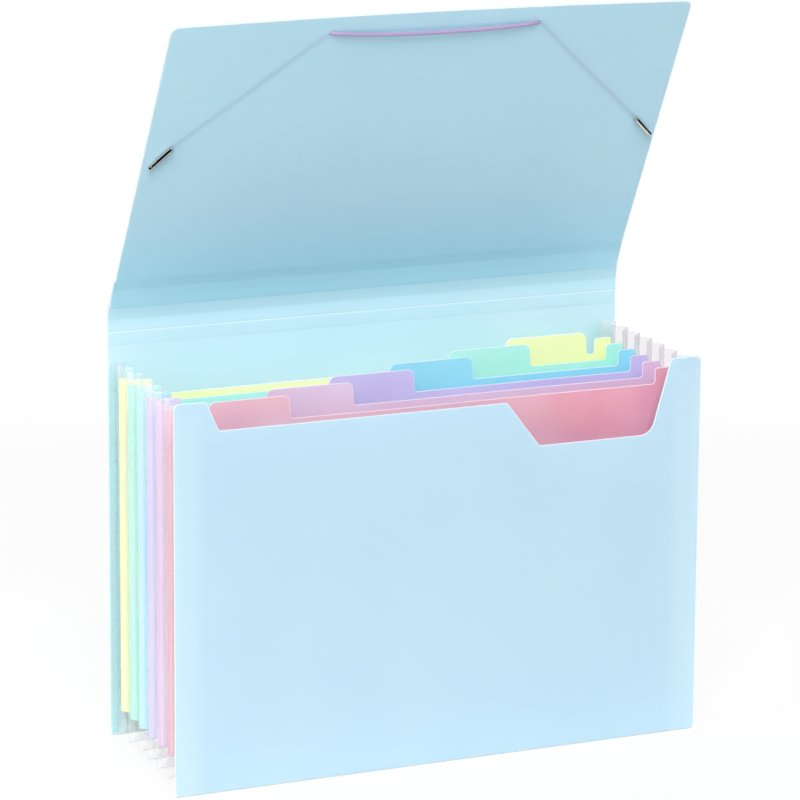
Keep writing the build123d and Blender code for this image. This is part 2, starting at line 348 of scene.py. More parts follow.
def tickTone(tree, place, look, tint):
    # a paler bent sheet, with two columns of short pale weld marks down each flange
    axes = addNode(tree, "ShaderNodeSeparateXYZ", {}, {"Vector": place})
    reach = addNode(tree, "ShaderNodeMath", {"operation": "ABSOLUTE"}, {0: axes.outputs["X"]})
    columns = [
        addNode(
            tree, "ShaderNodeMath", {"operation": "COMPARE", 1: column, 2: weldTicks["halfLength"]},
            {0: reach.outputs[0]},
        ).outputs[0]
        for column in weldTicks["columns"]
    ]
    marks = addNode(tree, "ShaderNodeMath", {"operation": "MAXIMUM"}, {0: columns[0], 1: columns[1]})
    height = addNode(
        tree, "ShaderNodeMath", {"operation": "MULTIPLY", 1: 2 * math.pi / weldTicks["spacing"]},
        {0: axes.outputs["Z"]},
    )
    rungs = addNode(tree, "ShaderNodeMath", {"operation": "SINE"}, {0: height.outputs[0]})
    start, stop = weldTicks["ends"]
    rungs = addNode(
        tree, "ShaderNodeMapRange", {1: start, 2: stop, 4: weldTicks["share"]}, {"Value": rungs.outputs[0]}
    )
    marks = addNode(
        tree, "ShaderNodeMath", {"operation": "MULTIPLY"}, {0: marks.outputs[0], 1: rungs.outputs[0]}
    )
    pale = colour(look["edge"])
    tint = addNode(tree, "ShaderNodeMix", {"data_type": "RGBA", 0: look["flangePale"], 7: pale}, {6: tint})
    return addNode(
        tree, "ShaderNodeMix", {"data_type": "RGBA", 7: pale}, {0: marks.outputs[0], 6: tint.outputs[2]}
    ).outputs[2]


def cordShadowTone(tree, place, tint):
    # the cord on the outside shows through the flap as a soft line from its hole to its slot: its shadow
    # and its tint, painted as a darker, bluer line on the inner face
    start, stop = [onFlap(*cordShadowLine[end], 0) for end in ("from", "to")]
    across = (stop - start).normalized().cross(flapInside)
    slope = across.x / (across.z + across.y * flapUp.y / flapUp.z)
    base = start.z + slope * start.x
    axes = addNode(tree, "ShaderNodeSeparateXYZ", {}, {"Vector": place})
    reach = addNode(tree, "ShaderNodeMath", {"operation": "ABSOLUTE"}, {0: axes.outputs["X"]}).outputs[0]
    level = addNode(
        tree, "ShaderNodeMath", {"operation": "MULTIPLY_ADD", 1: slope}, {0: reach, 2: axes.outputs["Z"]}
    )
    off = addNode(tree, "ShaderNodeMath", {"operation": "SUBTRACT", 1: base}, {0: level.outputs[0]})
    off = addNode(tree, "ShaderNodeMath", {"operation": "ABSOLUTE"}, {0: off.outputs[0]})
    reachOff, share = cordShadowLine["halfWidth"], cordShadowLine["share"]
    line = addNode(
        tree, "ShaderNodeMapRange",
        {"interpolation_type": "SMOOTHSTEP", 1: 0.0, 2: reachOff, 3: share, 4: 0.0},
        {"Value": off.outputs[0]},
    )
    within = addNode(
        tree, "ShaderNodeMath",
        {"operation": "COMPARE", 1: (start.x + stop.x) / 2, 2: abs(stop.x - start.x) / 2},
        {0: reach},
    )
    line = addNode(
        tree, "ShaderNodeMath", {"operation": "MULTIPLY"}, {0: line.outputs[0], 1: within.outputs[0]}
    )
    return addNode(
        tree, "ShaderNodeMix",
        {"data_type": "RGBA", 7: colour(cordShadowLine["tone"])},
        {0: line.outputs[0], 6: tint},
    ).outputs[2]


def frostedSheet(name, look, welded=False, ticked=False, crossed=False):
    material, tree = newMaterial(name)
    place = addNode(tree, "ShaderNodeTexCoord").outputs["Object"]
    tint = cloudyTone(tree, place, look, "deepens" in look and not ticked)
    if "rootHeight" in look:
        tint = rootTone(tree, place, look, tint)
    if welded:
        tint = weldLightAndShadeTone(tree, place, look, tint)
    if ticked:
        tint = tickTone(tree, place, look, tint)
    if crossed:
        tint = cordShadowTone(tree, place, tint)
    grain = addNode(
        tree, "ShaderNodeTexNoise", {"Scale": 1 / look["grain"], "Detail": 3.0}, {"Vector": place}
    )
    rough = addNode(
        tree, "ShaderNodeMapRange",
        {3: look["roughness"] - surfaceGrain["roughness"], 4: look["roughness"] + surfaceGrain["roughness"]},
        {"Value": grain.outputs["Fac"]},
    )
    bump = addNode(
        tree, "ShaderNodeBump",
        {"Strength": surfaceGrain["bump"], "Distance": surfaceGrain["depth"]},
        {"Height": grain.outputs["Fac"]},
    )
    surface = addNode(
        tree, "ShaderNodeBsdfPrincipled",
        {"IOR": polypropyleneIor},
        {"Base Color": tint, "Roughness": rough.outputs[0], "Normal": bump.outputs[0]},
    )
    glow = addNode(tree, "ShaderNodeBsdfTranslucent", {}, {"Color": tint})
    both = addNode(
        tree, "ShaderNodeMixShader", {0: look["translucent"]}, {1: surface.outputs[0], 2: glow.outputs[0]}
    )
    addNode(tree, "ShaderNodeOutputMaterial", {}, {"Surface": both.outputs[0]})
    return material


# The die-cut edge of the sheet, and a wide score: rougher and paler, a painted glow that stands in
# for the light which travels inside the sheet and gathers at the cut.
cutLook = {"drag": 3 * mm, "bodyShare": 0.25, "roughness": 0.55}


def cutEdge(name, look, key="edge"):
    material, tree = newMaterial(name)
    place = addNode(tree, "ShaderNodeTexCoord").outputs["Object"]
    drag = addNode(
        tree, "ShaderNodeTexNoise", {"Scale": 1 / cutLook["drag"], "Detail": 2.0}, {"Vector": place}
    )
    share = addNode(
        tree, "ShaderNodeMapRange", {3: 0.0, 4: cutLook["bodyShare"]}, {"Value": drag.outputs["Fac"]}
    )
    tint = addNode(
        tree, "ShaderNodeMix",
        {"data_type": "RGBA", 6: colour(look[key]), 7: colour(look["body"])},
        {0: share.outputs[0]},
    ).outputs[2]
    surface = addNode(
        tree, "ShaderNodeBsdfPrincipled",
        {"Roughness": cutLook["roughness"], "IOR": polypropyleneIor},
        {"Base Color": tint},
    )
    glow = addNode(tree, "ShaderNodeBsdfTranslucent", {}, {"Color": tint})
    both = addNode(
        tree, "ShaderNodeMixShader", {0: look["translucent"]}, {1: surface.outputs[0], 2: glow.outputs[0]}
    )
    addNode(tree, "ShaderNodeOutputMaterial", {}, {"Surface": both.outputs[0]})
    return material


# Clear polypropylene film, cast and folded: nearly transparent, with faint streaks along the
# fold and a milky crease.
filmLook = {
    "body": "#FCFBFD",
    "crease": "#D9DEE6",
    "opacity": 0.1,
    "creaseOpacity": 0.32,
    "streak": 3 * mm,
    "drawnOut": 0.05,    # the streaks are 20 times as long as wide
    "contrast": (0.3, 0.7),
    "uneven": 0.5,       # share of the opacity that the streaks add or take away
    "roughness": (0.12, 0.24),
    "clear": "#FFFFFF",
    "shadedClear": "#F7F5F6",
    "underside": 0.85,   # share of the opacity that the unscuffed underside has
    "undersideHeight": (8 * mm, 22 * mm),
    "hem": 1.3,          # times the opacity, at the upper hem
    "hemHeight": (210 * mm, 222 * mm),
    "hemClearFrom": 185 * mm,
}
# the last pleat lets everything through clear, without that painted shade
lastPleatLook = {**filmLook, "shadedClear": "#FFFFFF"}


def clearFilm(name, look, opacity, tone):
    material, tree = newMaterial(name)
    place = addNode(tree, "ShaderNodeTexCoord").outputs["Object"]
    drawn = addNode(tree, "ShaderNodeMapping", {"Scale": (1.0, 1.0, look["drawnOut"])}, {"Vector": place})
    streak = addNode(
        tree, "ShaderNodeTexNoise", {"Scale": 1 / look["streak"], "Detail": 2.0}, {"Vector": drawn.outputs[0]}
    )
    start, stop = look["contrast"]
    share = addNode(
        tree, "ShaderNodeMapRange",
        {1: start, 2: stop, 3: (1 - look["uneven"]) * opacity, 4: (1 + look["uneven"]) * opacity},
        {"Value": streak.outputs["Fac"]},
    )
    # the sides are scuffed by hands and the underside is not, and the upper hem is milky
    axes = addNode(tree, "ShaderNodeSeparateXYZ", {}, {"Vector": place})
    height = axes.outputs["Z"]
    footFrom, footTo = look["undersideHeight"]
    hemFrom, hemTo = look["hemHeight"]
    worn = addNode(
        tree, "ShaderNodeMapRange", {1: footFrom, 2: footTo, 3: look["underside"], 4: 1.0}, {"Value": height}
    )
    hem = addNode(
        tree, "ShaderNodeMapRange", {1: hemFrom, 2: hemTo, 3: 1.0, 4: look["hem"]}, {"Value": height}
    )
    for factor in (worn, hem):
        share = addNode(
            tree, "ShaderNodeMath", {"operation": "MULTIPLY"}, {0: share.outputs[0], 1: factor.outputs[0]}
        )
    smooth, dull = look["roughness"]
    rough = addNode(tree, "ShaderNodeMapRange", {3: smooth, 4: dull}, {"Value": streak.outputs["Fac"]})
    surface = addNode(
        tree, "ShaderNodeBsdfPrincipled",
        {"Base Color": colour(tone), "IOR": polypropyleneIor},
        {"Roughness": rough.outputs[0]},
    )
    # painted shade: what shows through is a little greyer towards the upper right, the side away from the
    # light
    upper = addNode(tree, "ShaderNodeMapRange", {1: look["hemClearFrom"], 2: hemTo}, {"Value": height})
    right = addNode(tree, "ShaderNodeMapRange", {1: 0.0, 2: halfWidth}, {"Value": axes.outputs["X"]})
    upper = addNode(
        tree, "ShaderNodeMath", {"operation": "MULTIPLY"}, {0: upper.outputs[0], 1: right.outputs[0]}
    )
    passed = addNode(
        tree, "ShaderNodeMix",
        {"data_type": "RGBA", 6: colour(look["clear"]), 7: colour(look["shadedClear"])},
        {0: upper.outputs[0]},
    )
    clear = addNode(tree, "ShaderNodeBsdfTransparent", {}, {"Color": passed.outputs[2]})
    both = addNode(
        tree, "ShaderNodeMixShader", {}, {0: share.outputs[0], 1: clear.outputs[0], 2: surface.outputs[0]}
    )
    addNode(tree, "ShaderNodeOutputMaterial", {}, {"Surface": both.outputs[0]})
    return material


# Nickel-plated steel, stamped and tumbled: bright, with fine scuffs.
barbLook = {"body": "#E2DFDA", "scuffed": "#C2BFBA", "scuff": 0.8 * mm, "roughness": (0.09, 0.25)}
# the seam's near-black is painted: shade inside the open seam, and a dark reflection
seamShadeAndReflectionLook = {"body": "#101012", "scuffed": "#070708", "scuff": 0.8 * mm, "roughness": (0.39, 0.55)}


def nickelPlate(name, look):
    material, tree = newMaterial(name)
    place = addNode(tree, "ShaderNodeTexCoord").outputs["Object"]
    scuff = addNode(
        tree, "ShaderNodeTexNoise", {"Scale": 1 / look["scuff"], "Detail": 4.0}, {"Vector": place}
    )
    tint = addNode(
        tree, "ShaderNodeMix",
        {"data_type": "RGBA", 6: colour(look["body"]), 7: colour(look["scuffed"])},
        {0: scuff.outputs["Fac"]},
    ).outputs[2]
    smooth, dull = look["roughness"]
    rough = addNode(tree, "ShaderNodeMapRange", {3: smooth, 4: dull}, {"Value": scuff.outputs["Fac"]})
    surface = addNode(
        tree, "ShaderNodeBsdfPrincipled",
        {"Metallic": 1.0},
        {"Base Color": tint, "Roughness": rough.outputs[0]},
    )
    addNode(tree, "ShaderNodeOutputMaterial", {}, {"Surface": surface.outputs[0]})
    return material


# Braided elastic: a rubber core in a tight lavender polyester sleeve, so a fine diagonal rib
# and a soft sheen.
cordLook = {
    "body": "#C4B1D8",
    "shade": "#86719F",
    "rib": 1.4 * mm,
    "ribsRound": 4,
    "ribDepth": 0.15 * mm,
    "bump": 0.4,
    "roughness": 0.4,
    "sheen": 0.3,
}


def braidedElastic(name, look, length):
    material, tree = newMaterial(name)
    wrap = addNode(tree, "ShaderNodeTexCoord").outputs["UV"]
    parts = addNode(tree, "ShaderNodeSeparateXYZ", {}, {"Vector": wrap})
    ribs = []
    for turn in (-1, 1):
        along = addNode(
            tree, "ShaderNodeMath", {"operation": "MULTIPLY", 1: 2 * math.pi * length / look["rib"]},
            {0: parts.outputs["X"]},
        )
        around = addNode(
            tree, "ShaderNodeMath", {"operation": "MULTIPLY", 1: turn * 2 * math.pi * look["ribsRound"]},
            {0: parts.outputs["Y"]},
        )
        phase = addNode(
            tree, "ShaderNodeMath", {"operation": "ADD"}, {0: along.outputs[0], 1: around.outputs[0]}
        )
        ribs.append(addNode(tree, "ShaderNodeMath", {"operation": "SINE"}, {0: phase.outputs[0]}).outputs[0])
    weave = addNode(tree, "ShaderNodeMath", {"operation": "MULTIPLY"}, {0: ribs[0], 1: ribs[1]})
    height = addNode(tree, "ShaderNodeMapRange", {1: -1.0, 2: 1.0}, {"Value": weave.outputs[0]})
    tint = addNode(
        tree, "ShaderNodeMix",
        {"data_type": "RGBA", 6: colour(look["shade"]), 7: colour(look["body"])},
        {0: height.outputs[0]},
    ).outputs[2]
    bump = addNode(
        tree, "ShaderNodeBump",
        {"Strength": look["bump"], "Distance": look["ribDepth"]},
        {"Height": height.outputs[0]},
    )
    surface = addNode(
        tree, "ShaderNodeBsdfPrincipled",
        {"Roughness": look["roughness"], "Sheen Weight": look["sheen"]},
        {"Base Color": tint, "Normal": bump.outputs[0]},
    )
    addNode(tree, "ShaderNodeOutputMaterial", {}, {"Surface": surface.outputs[0]})
    return material


coverSheet = frostedSheet("frosted polypropylene, pale blue", flapLook)
spineSheet = frostedSheet("frosted polypropylene, pale blue, creased", spineLook)
weldedSheet = frostedSheet("frosted polypropylene, pale blue, film welded on", coverLook, welded=True)
backLitAndShaded = frostedSheet("frosted polypropylene, pale blue, lit through", backLook, welded=True)
flapInner = frostedSheet("frosted polypropylene, pale blue, cord behind", flapLook, crossed=True)
coverEdge = cutEdge("cut edge of pale blue polypropylene", coverLook)
coverScore = cutEdge("score in pale blue polypropylene", coverLook, "score")
coverWeld = cutEdge("weld dot in pale blue polypropylene", coverLook, "dot")
backWeldShaded = cutEdge("weld dot in pale blue polypropylene, in shade", backLook, "dot")
film = clearFilm("clear polypropylene film", filmLook, filmLook["opacity"], filmLook["body"])
weldedFilm = clearFilm(
    "clear polypropylene film, last pleat", lastPleatLook, filmLook["opacity"], filmLook["body"]
)
filmCrease = clearFilm("crease in clear film", filmLook, filmLook["creaseOpacity"], filmLook["crease"])
nickel = nickelPlate("nickel-plated steel", barbLook)
seamShadeAndReflection = nickelPlate("open seam in nickel-plated steel", seamShadeAndReflectionLook)
print("materials ready")

# Cut sheets: the covers, the flap and the dividers, each with a softened cut edge, paler with a painted glow

sheetEdges = {"ring": 0.45 * mm, "bevel": 0.14 * mm, "steps": 2, "sharp": 60}


def softenEdges(piece, flatNormal, keepPlain=None):
    # a narrow ring along the outline on both faces takes the pale cut-edge finish, a painted glow;
    # then the outline's corners are rounded
    pick(piece, "FACE", lambda face: abs(face.normal.dot(flatNormal)) > aligned)
    bpy.ops.mesh.inset(thickness=sheetEdges["ring"], use_even_offset=True)
    bpy.ops.mesh.select_all(action="INVERT")
    paint(piece, 1)
    bevelSharp(sheetEdges["sharp"], sheetEdges["bevel"], sheetEdges["steps"])
    if keepPlain:
        pick(piece, "FACE", keepPlain)
        paint(piece, 0)


ripples = {"step": 10 * mm, "length": 75 * mm, "depth": 2.6 * mm, "still": 150 * mm, "free": 105 * mm}


def ripple(piece):
    # thin sheets hang in shallow waves, but stay straight where the pleats hold them
    heights = [vertex.co.z for vertex in piece.data.vertices]
    low, high = min(heights), max(heights)
    still = ripples["still"]
    editing(piece)
    for way, start, stop in ((Vector((1, 0, 0)), -still, still), (Vector((0, 0, 1)), low, high)):
        for number in range(1, int((stop - start) / ripples["step"])):
            bpy.ops.mesh.select_all(action="SELECT")
            bpy.ops.mesh.bisect(plane_co=way * (start + number * ripples["step"]), plane_no=way)
    bpy.ops.object.mode_set(mode="OBJECT")
    held = piece.vertex_groups.new(name="free of the pleats")
    for vertex in piece.data.vertices:
        side = (still - abs(vertex.co.x)) / (still - ripples["free"])
        foot = (vertex.co.z - low) / (still - ripples["free"])
        held.add([vertex.index], max(0.0, min(1.0, side, foot)), "REPLACE")
    waves = bpy.data.textures.new(piece.name + " waves", "CLOUDS")
    waves.noise_scale = ripples["length"]
    waves.noise_depth = 0
    push = piece.modifiers.new("ripple", "DISPLACE")
    push.texture = waves
    push.texture_coords = "LOCAL"
    push.direction = "Y"
    push.strength = ripples["depth"]
    push.vertex_group = held.name
    bpy.ops.object.modifier_apply(modifier=push.name)


upright = Vector((0, 1, 0))
scoreGap = 0.25 * mm  # half of the gap that the CAD pieces leave at a score

frontSheet = copyOfNode("front_panel", "frontCover", [weldedSheet, coverEdge])
# the front cover's foot stands in shade on the floor, so it keeps the plain finish, without the painted glow
softenEdges(frontSheet, upright, lambda face: face.calc_center_median().z < sheetEdges["ring"])
finishModelling(frontSheet)
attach(frontSheet, "front_cover")
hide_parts("front_panel")

backTop = scorePoints[0].z
backSheet = copyOfNode("back_panel", "backCover", [backLitAndShaded, coverEdge, weldedSheet])
pick(backSheet, "VERT", lambda vertex: vertex.co.z > backTop - 2 * scoreGap)
bpy.ops.transform.translate(value=(0, 0, scoreGap))
# the back cover's top edge, at the score, keeps the plain finish, without the painted glow
softenEdges(backSheet, upright, lambda face: face.calc_center_median().z > backTop - sheetEdges["ring"])
# the outer face takes the front cover's finish, without the inner face's painted light and shade
pick(backSheet, "FACE", lambda face: face.normal.y > aligned and face.material_index == 0)
paint(backSheet, 2)
finishModelling(backSheet)
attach(backSheet, "back_cover")
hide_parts("back_panel")
print("covers cut")

flapRoot = {"rows": 5, "zone": 3.5 * mm}
flapHoles = {
    "hole": (63.7, 176.6),  # across and up the flap, in millimetres
    "slot": (148.7, 96.6),
    "plainRim": 7 * mm,
    "holeReach": 5 * mm,
    "holeLeft": 0.62,       # share of its width that a hole keeps
    "slotReach": 6 * mm,
    "slotClosed": 0.75,     # share of a slot's inner half that closes
}
flapSheet = copyOfNode("flap", "flapSheet", [coverSheet, coverEdge, flapInner])
holes = [onFlap(side * flapHoles["hole"][0], flapHoles["hole"][1], 0) for side in (-1, 1)]
slots = [onFlap(side * flapHoles["slot"][0], flapHoles["slot"][1], 0) for side in (-1, 1)]


def upFlap(point):
    return (point - scorePoints[3]).dot(flapUp)


def plainOnFlap(face):
    # the root, and the rims of the holes and slots, which are punched and stay in shade
    middle = face.calc_center_median()
    onRim = any((middle - place).length < flapHoles["plainRim"] for place in holes + slots)
    return onRim or upFlap(middle) < 2 * scoreGap


pick(flapSheet, "VERT", lambda vertex: upFlap(vertex.co) < 2 * scoreGap)
bpy.ops.transform.translate(value=flapUp * -scoreGap)
softenEdges(flapSheet, flapInside, plainOnFlap)
# the punched holes close round the cord, as a limp sheet does
sheetMesh = bmesh.from_edit_mesh(flapSheet.data)
for hole in holes:
    for vertex in sheetMesh.verts:
        reach = vertex.co - hole
        if reach.length < flapHoles["holeReach"]:
            depth = flapInside * reach.dot(flapInside)
            vertex.co = hole + depth + (reach - depth) * flapHoles["holeLeft"]
for slot in slots:
    # the end that would show past the barb's tongue
    inward = barbWay(Vector((math.copysign(1, slot.x), 0, 0)))
    for vertex in sheetMesh.verts:
        reach = vertex.co - slot
        if reach.length < flapHoles["slotReach"] and reach.dot(inward) > 0:
            vertex.co -= inward * (flapHoles["slotClosed"] * reach.dot(inward))
bmesh.update_edit_mesh(flapSheet.data)
# the inner face takes the painted shadow of the cord behind
pick(flapSheet, "FACE", lambda face: face.material_index == 0 and face.normal.dot(flapInside) > aligned)
paint(flapSheet, 2)
editing(flapSheet)
for row in range(flapRoot["rows"]):
    height = flapRoot["zone"] * (row + 1) / flapRoot["rows"]
    bpy.ops.mesh.select_all(action="SELECT")
    bpy.ops.mesh.bisect(plane_co=scorePoints[3] + flapUp * height, plane_no=flapUp)
finishModelling(flapSheet)
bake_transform(flapSheet)
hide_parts("flap")
print("flap cut")

lowerCorners = {"from": 146 * mm, "below": 13 * mm, "raise": 9 * mm}


def inLowerCorner(vertex):
    return abs(vertex.co.x) > lowerCorners["from"] and vertex.co.z < lowerCorners["below"]


for name in dividerNames:
    look = {**dividerLook, **dividerLooks[name]}
    sheet = frostedSheet("frosted polypropylene, " + name, look)
    cut = cutEdge("cut edge of " + name + " polypropylene", look)
    divider = copyOfNode("divider_" + name, "divider" + name.capitalize(), [sheet, cut])
    softenEdges(divider, upright)
    ripple(divider)
    editing(divider)
    pick(divider, "VERT", inLowerCorner)
    bpy.ops.transform.translate(value=(0, 0, lowerCorners["raise"]))
    finishModelling(divider)
    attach(divider, name)
    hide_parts("divider_" + name)
print("dividers cut")

# Spine strips: each one is creased into flat facets, given by their lean in degrees from the
# lowest up, and turns at its lower score

stripShapes = {
    "lower": {"leans": [2], "low": 0.06 * mm, "high": 0.35 * mm},
    "middle": {"leans": [0, 12], "low": 0.08 * mm, "high": 0.06 * mm},
    "upper": {"leans": [24, 27, 33], "low": 0.06 * mm, "high": 0.06 * mm},
}
stripEdge = {
    "thickness": 0.8 * mm,
    "ring": 0.45 * mm,
    "zone": 2.6 * mm,
    "tipInset": 1.5 * mm,
    "rows": 8,
    # the pale score finish is a painted glow along the groove
    "paleFrom": 0.2 * mm,  # a chamfer wider than this shows as a pale score
    "sharp": 60,
    "smooth": 50,
}


def drawUp(strip, low, leans, step, tipInset):
    # one edge of the plane stays, on the score, and is drawn up row by row
    editing(strip, "VERT")
    pick(strip, "VERT", lambda vertex: vertex.co.y < low.y)
    bpy.ops.mesh.delete(type="VERT")
    bpy.ops.mesh.select_all(action="SELECT")
    bpy.ops.transform.translate(value=(0, -halfWidth, 0))
    for row, lean in enumerate(leans):
        move = (0, -step * math.sin(lean), step * math.cos(lean))
        bpy.ops.mesh.extrude_region_move(TRANSFORM_OT_translate={"value": move})
        wide = halfWidth - tipInset * row / len(leans)
        narrow = halfWidth - tipInset * (row + 1) / len(leans)
        bpy.ops.transform.resize(value=(narrow / wide, 1, 1), center_override=(0, low.y, low.z))
    bpy.ops.object.mode_set(mode="OBJECT")
    solid = strip.modifiers.new("thickness", "SOLIDIFY")
    solid.thickness = stripEdge["thickness"]
    solid.offset = 0
    solid.use_even_offset = True
    bpy.ops.object.modifier_apply(modifier=solid.name)


def onStripEnd(edge, low, high, lowEnd):
    # a sharp edge across the strip, at its lower or its upper end
    first, second = edge.verts[0].co, edge.verts[1].co
    sharp = edge.calc_face_angle(0) > math.radians(stripEdge["sharp"])
    across = abs((first - second).normalized().x) > aligned
    share = ((first + second) / 2 - low).dot(high - low) / (high - low).length_squared
    return sharp and across and (share < 0.5) == lowEnd


def spineStrip(number, name, shape):
    low, high = scorePoints[number], scorePoints[number + 1]
    leans = [math.radians(lean) for lean in shape["leans"] for row in range(stripEdge["rows"])]
    drift = math.atan2(sum(map(math.sin, leans)), sum(map(math.cos, leans)))
    drift -= math.atan2(low.y - high.y, high.z - low.z)
    leans = [lean - drift for lean in leans]  # so that the top meets the next score
    step = (high - low).length / math.hypot(sum(map(math.sin, leans)), sum(map(math.cos, leans)))
    tipInset = stripEdge["tipInset"] if name == "upper" else 0.0
    startClean()
    bpy.ops.mesh.primitive_plane_add(size=2 * halfWidth, location=low)
    strip = bpy.context.active_object
    strip.name = "spineStrip" + name.capitalize()
    for finish in (coverSheet if name == "upper" else spineSheet, coverEdge, coverScore):
        strip.data.materials.append(finish)
    bpy.ops.object.transform_apply(location=True, rotation=True, scale=True)
    drawUp(strip, low, leans, step, tipInset)
    editing(strip)
    bpy.ops.mesh.normals_make_consistent(inside=False)
    edgeX = halfWidth - tipInset / 2 - stripEdge["ring"]
    for side in (-1, 1):
        bpy.ops.mesh.select_all(action="SELECT")
        bpy.ops.mesh.bisect(plane_co=(side * edgeX, 0, 0), plane_no=(1, 0, 0))
    pick(strip, "FACE", lambda face: abs(face.calc_center_median().x) > edgeX)
    paint(strip, 1)
    # the ends are chamfered, so that two neighbours leave a groove at the score
    for end in ("low", "high"):
        pick(strip, "EDGE", lambda edge: onStripEnd(edge, low, high, end == "low"))
        finish = 2 if shape[end] > stripEdge["paleFrom"] else 0
        bpy.ops.mesh.bevel(offset=shape[end], segments=1, affect="EDGES", material=finish)
    finishModelling(strip, stripEdge["smooth"])
    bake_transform(strip)
    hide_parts("spine_strip_" + name)


for number, (name, shape) in enumerate(stripShapes.items()):
    spineStrip(number, name, shape)
print("spine strips bent")

# Pleated film and the dividers' side flanges, which on the real folder fold up as a pocket closes

pleatShape = {"crease": 0.5 * mm, "steps": 2, "smooth": 40, "foldBand": 0.2 * mm, "foldLength": 50 * mm}


def onFold(edge, foldY):
    first, second = edge.verts[0].co, edge.verts[1].co
    inLine = all(abs(point.y - foldY) < pleatShape["foldBand"] for point in (first, second))
    return inLine and (first - second).length > pleatShape["foldLength"]


for pocket in range(1, len(slidingBodies)):
    childY, parentY = sheetPlanes[pocket - 1], sheetPlanes[pocket]
    foldY = (childY + parentY) / 2
    node = "gusset_pocket_" + str(pocket)
    lastPleat = pocket == len(slidingBodies) - 1
    pleat = copyOfNode(node, "pleat" + str(pocket), [weldedFilm if lastPleat else film, filmCrease])
    pick(pleat, "EDGE", lambda edge: onFold(edge, foldY))
    bpy.ops.mesh.bevel(offset=pleatShape["crease"], segments=pleatShape["steps"], affect="EDGES", material=1)
    finishModelling(pleat, pleatShape["smooth"])
    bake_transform(pleat)
    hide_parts(node)

flangeShape = {
    "bevel": 0.08 * mm,
    "sharp": 40,
    "top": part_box("flanges_rose")[1].z,
    "topBand": 1 * mm,
    "topSlope": 9 * mm,
}


def onOuterTop(vertex, halfWay):
    nearTop = vertex.co.z > flangeShape["top"] - flangeShape["topBand"]
    return nearTop and vertex.co.x > 0 and vertex.co.y > halfWay


for number, name in enumerate(dividerNames):
    bent = {**dividerLook, **dividerLooks[name]}
    bent["translucent"] = bent["bentTranslucent"]
    bent["body"] = bent.get("flange", bent["body"])
    ticked = frostedSheet("frosted polypropylene, " + name + ", weld marks", bent, ticked=True)
    flanges = copyOfNode("flanges_" + name, "flanges" + name.capitalize(), [ticked])
    bevelSharp(flangeShape["sharp"], flangeShape["bevel"], 1)
    # the right flange is cut away at the top, so that papers slip in past it
    depths = [vertex.co.y for vertex in bmesh.from_edit_mesh(flanges.data).verts]
    halfWay = (min(depths) + max(depths)) / 2
    pick(flanges, "VERT", lambda vertex: onOuterTop(vertex, halfWay))
    bpy.ops.transform.translate(value=(0, 0, -flangeShape["topSlope"]))
    finishModelling(flanges)
    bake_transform(flanges)
    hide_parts("flanges_" + name)
print("pleats and flanges folded")

# Weld dots: the film is spot-welded to the covers in two columns at each side

weldDots = {
    "radius": 1.1 * mm,
    "shoulder": 0.55 * mm,
    "corners": 12,
    "rise": 0.08 * mm,
    "columns": (3.9 * mm, 11.5 * mm),  # from the cover's side edge
    "first": 8 * mm,
    "spacing": 10.75 * mm,
    "count": 20,
}
thicknesses = {"cover": 0.8 * mm, "film": 0.3 * mm}


def weldRows(name, body, y, outward, finish):
    startClean()
    outer, inner = weldDots["columns"]
    bpy.ops.mesh.primitive_circle_add(
        vertices=weldDots["corners"], radius=weldDots["radius"], fill_type="NGON",
        location=(outer - halfWidth, y, weldDots["first"]), rotation=(math.radians(-90 * outward), 0, 0),
    )
    dots = bpy.context.active_object
    dots.name = name
    dots.data.materials.append(finish)
    bpy.ops.object.transform_apply(location=True, rotation=True, scale=True)
    editing(dots)
    bpy.ops.mesh.inset(thickness=weldDots["shoulder"])
    bpy.ops.transform.translate(value=(0, outward * weldDots["rise"], 0))
    bpy.ops.object.mode_set(mode="OBJECT")
    runs = {"rows": (weldDots["count"], (0, 0, weldDots["spacing"])), "columns": (2, (inner - outer, 0, 0))}
    for title, (count, apart) in runs.items():
        run = dots.modifiers.new(title, "ARRAY")
        run.use_relative_offset = False
        run.use_constant_offset = True
        run.constant_offset_displace = apart
        run.count = count
        bpy.ops.object.modifier_apply(modifier=title)
    sides = dots.modifiers.new("sides", "MIRROR")
    sides.use_axis = (True, False, False)
    bpy.ops.object.modifier_apply(modifier=sides.name)
    bpy.ops.object.shade_smooth()
    startClean()
    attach(dots, body)


frontFace = sheetPlanes[0] - thicknesses["cover"] / 2
backFace = sheetPlanes[-1] + thicknesses["cover"] / 2
innerFace = sheetPlanes[-1] - thicknesses["cover"] / 2 - thicknesses["film"]
weldRows("weldDotsFront", "front_cover", frontFace, -1, coverWeld)
weldRows("weldDotsBackOutside", "back_cover", backFace, 1, coverWeld)
# the dots inside are darker than those outside: painted shade
weldRows("weldDotsBackInside", "back_cover", innerFace, -1, backWeldShaded)
print("weld dots set")

# Elastic cord, on the route of the CAD cord: points across, up and out of the flap, in millimetres.
# More points than in CAD lead it through the slots, and the inside run sags a little.

cordShape = {
    "diameter": 2.4 * mm,  # relaxed, so a little thicker than the CAD cord
    "length": 386 * mm,
    "half": [
        (156.34, 89.26, 2.1),
        (153.6, 91.88, 2.0),
        (152.2, 93.2, 1.2),
        (150.6, 94.7, -0.7),
        (148.2, 96.95, -1.75),
        (137.45, 107.27, -1.8),
        (74.86, 166.95, -1.8),
        (65.45, 175.92, -1.8),
        (62.0, 177.3, 1.8),
        (49.0, 176.2, 2.2),
        (22.0, 175.2, 2.9),
    ],
}
